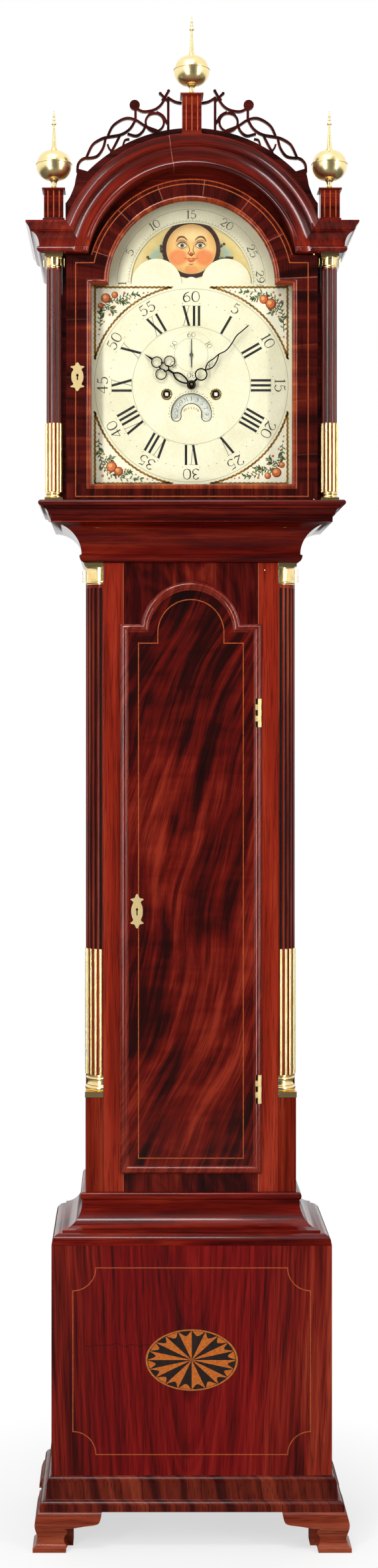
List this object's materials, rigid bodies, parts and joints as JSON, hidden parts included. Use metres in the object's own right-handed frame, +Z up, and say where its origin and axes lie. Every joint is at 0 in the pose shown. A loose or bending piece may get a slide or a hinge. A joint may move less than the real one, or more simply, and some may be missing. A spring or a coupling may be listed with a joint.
{
  "type": "longcase clock",
  "caption": "Tall case clock with an arched hood, fretwork, fluted columns, a moon dial, an arched trunk door, a pendulum movement with two weights and a base on bracket feet.",
  "frame": {"origin": "centre of the bounding box on the floor", "axes": "+Z up, the dial looks along -Y, +X to the right seen from the front is the viewer's right"},
  "size_m": [0.514, 0.2606, 2.3844],
  "materials": {
    "mahogany": "polished shellac over figured mahogany",
    "pine": "unfinished pine",
    "brass": "polished",
    "steel": "blued and polished",
    "painted_iron": "painted",
    "bell_metal": "cast",
    "glass": "clear",
    "cast_iron": "bare",
    "gut": "twisted gut"
  },
  "bodies": {
    "case": {"bracket_feet": "mahogany", "base_moulding": "mahogany", "base_panels": "mahogany", "base_boards": "pine", "base_top_moulding": "mahogany", "trunk_frame": "mahogany", "trunk_sides": "mahogany", "quarter_columns": "mahogany", "trunk_brasses": "brass", "throat_moulding": "mahogany", "back_board": "pine", "seat_board": "pine", "case_hinge_leaves": "brass", "dial": "painted_iron", "front_plate": "brass", "back_plate": "brass", "bell": "bell_metal", "line_ends": "gut"},
    "hood": {"hood_base": "mahogany", "hood_sides": "mahogany", "hood_front": "mahogany", "hood_cornice": "mahogany", "hood_roof": "pine", "hood_columns": "mahogany", "hood_brasses": "brass", "plinths": "mahogany", "finials": "brass", "fretwork": "mahogany"},
    "glass_door": {"hood_door": "mahogany", "hood_glass": "glass", "hood_escutcheon": "brass"},
    "long_door": {"trunk_door": "mahogany", "door_hinge_leaves": "brass", "trunk_escutcheon": "brass", "trunk_lock": "brass"},
    "bolt": {"trunk_bolt": "steel"},
    "centre_arbor": {"centre_wheel": "brass", "minute_hand": "steel"},
    "minute_arbor": {"minute_wheel": "brass"},
    "hour_pipe": {"hour_wheel": "brass", "hour_hand": "steel"},
    "third_arbor": {"third_wheel": "brass"},
    "escape_arbor": {"escape_wheel": "brass", "seconds_hand": "brass"},
    "going_great": {"time_great_wheel": "brass"},
    "going_barrel": {"time_barrel": "brass"},
    "striking_barrel": {"strike_barrel": "brass"},
    "striking_great": {"strike_great_wheel": "brass"},
    "pin_arbor": {"pin_wheel": "brass"},
    "hammer_arbor": {"hammer": "steel"},
    "anchor": {"pallets": "steel"},
    "swinging_rod": {"pendulum": "brass"},
    "moon": {"moon_disc": "painted_iron"},
    "calendar": {"calendar_disc": "painted_iron"},
    "going_weight": {"time_weight": "cast_iron", "time_line": "gut"},
    "striking_weight": {"strike_weight": "cast_iron", "strike_line": "gut"},
    "going_pulley": {"time_pulley": "brass"},
    "striking_pulley": {"strike_pulley": "brass"}
  },
  "joints": [
    {"name": "hood_slide", "type": "slide", "parent": "case", "child": "hood", "axis": [0, -1, 0], "range_m": [0, 0.26]},
    {"name": "glass_door_swing", "type": "hinge", "parent": "hood", "child": "glass_door", "pos_m": [0.19, -0.09575, 1.82], "axis": [0, 0, 1], "range_deg": [0, 105]},
    {"name": "long_door_swing", "type": "hinge", "parent": "case", "child": "long_door", "pos_m": [0.1085, -0.04425, 1.01], "axis": [0, 0, 1], "range_deg": [0, 100]},
    {"name": "bolt_throw", "type": "slide", "parent": "long_door", "child": "bolt", "axis": [-1, 0, 0], "range_m": [0, 0.01]},
    {"name": "centre_turn", "type": "hinge", "parent": "case", "child": "centre_arbor", "pos_m": [0, 0.00375, 1.813], "axis": [0, 1, 0], "continuous": true},
    {"name": "minute_wheel_turn", "type": "hinge", "parent": "case", "child": "minute_arbor", "pos_m": [-0.00862, -0.034, 1.78932], "axis": [0, 1, 0], "continuous": true},
    {"name": "hour_turn", "type": "hinge", "parent": "case", "child": "hour_pipe", "pos_m": [0, -0.05, 1.813], "axis": [0, 1, 0], "continuous": true},
    {"name": "third_turn", "type": "hinge", "parent": "case", "child": "third_arbor", "pos_m": [0.00875, 0.00375, 1.83875], "axis": [0, 1, 0], "continuous": true},
    {"name": "escape_turn", "type": "hinge", "parent": "case", "child": "escape_arbor", "pos_m": [0, 0.00375, 1.8607], "axis": [0, 1, 0], "continuous": true},
    {"name": "going_great_turn", "type": "hinge", "parent": "case", "child": "going_great", "pos_m": [0.0386, -0.02, 1.799], "axis": [0, 1, 0], "continuous": true},
    {"name": "going_barrel_turn", "type": "hinge", "parent": "case", "child": "going_barrel", "pos_m": [0.0386, -0.003, 1.799], "axis": [0, 1, 0], "range_deg": [-4600, 245]},
    {"name": "striking_barrel_turn", "type": "hinge", "parent": "case", "child": "striking_barrel", "pos_m": [-0.0386, -0.003, 1.799], "axis": [0, 1, 0], "range_deg": [-245, 4600]},
    {"name": "striking_great_turn", "type": "hinge", "parent": "case", "child": "striking_great", "pos_m": [-0.0386, -0.02, 1.799], "axis": [0, 1, 0], "continuous": true},
    {"name": "pin_wheel_turn", "type": "hinge", "parent": "case", "child": "pin_arbor", "pos_m": [-0.02, 0.00375, 1.834], "axis": [0, 1, 0], "continuous": true},
    {"name": "hammer_swing", "type": "hinge", "parent": "case", "child": "hammer_arbor", "pos_m": [-0.046, 0.00375, 1.875], "axis": [0, 1, 0], "range_deg": [-12, 3]},
    {"name": "pendulum_swing", "type": "hinge", "parent": "case", "child": "swinging_rod", "pos_m": [0, 0.05775, 1.8877], "axis": [0, 1, 0], "range_deg": [-2.5, 2.5]},
    {"name": "anchor_rock", "type": "hinge", "parent": "case", "child": "anchor", "pos_m": [0, 0.01, 1.8877], "axis": [0, 1, 0], "range_deg": [-2.5, 2.5]},
    {"name": "moon_turn", "type": "hinge", "parent": "case", "child": "moon", "pos_m": [0, -0.062, 1.973], "axis": [0, 1, 0], "continuous": true},
    {"name": "calendar_turn", "type": "hinge", "parent": "case", "child": "calendar", "pos_m": [0, -0.062, 1.7684], "axis": [0, 1, 0], "continuous": true},
    {"name": "going_weight_fall", "type": "slide", "parent": "case", "child": "going_weight", "axis": [0, 0, 1], "range_m": [-1.023, 0.054], "deforming": ["time_line"]},
    {"name": "striking_weight_fall", "type": "slide", "parent": "case", "child": "striking_weight", "axis": [0, 0, 1], "range_m": [-1.023, 0.054], "deforming": ["strike_line"]},
    {"name": "going_pulley_turn", "type": "hinge", "parent": "going_weight", "child": "going_pulley", "pos_m": [0.0831, 0.008, 1.426], "axis": [0, 1, 0], "range_deg": [-190, 3300]},
    {"name": "striking_pulley_turn", "type": "hinge", "parent": "striking_weight", "child": "striking_pulley", "pos_m": [-0.0831, 0.008, 1.426], "axis": [0, 1, 0], "range_deg": [-3300, 190]}
  ],
  "couplings": [
    {"joint": "minute_wheel_turn", "follows": "centre_turn", "ratio": -0.66667},
    {"joint": "hour_turn", "follows": "centre_turn", "ratio": 0.083333},
    {"joint": "third_turn", "follows": "centre_turn", "ratio": -7.5},
    {"joint": "escape_turn", "follows": "centre_turn", "ratio": 60},
    {"joint": "going_great_turn", "follows": "centre_turn", "ratio": -0.083333},
    {"joint": "pin_wheel_turn", "follows": "striking_great_turn", "ratio": -10.5},
    {"joint": "going_barrel_turn", "follows": "going_weight_fall", "rad_per_m": 78.431},
    {"joint": "striking_barrel_turn", "follows": "striking_weight_fall", "rad_per_m": -78.431},
    {"joint": "going_pulley_turn", "follows": "going_weight_fall", "rad_per_m": -55.556},
    {"joint": "striking_pulley_turn", "follows": "striking_weight_fall", "rad_per_m": 55.556},
    {"joint": "anchor_rock", "follows": "pendulum_swing", "ratio": 1}
  ]
}
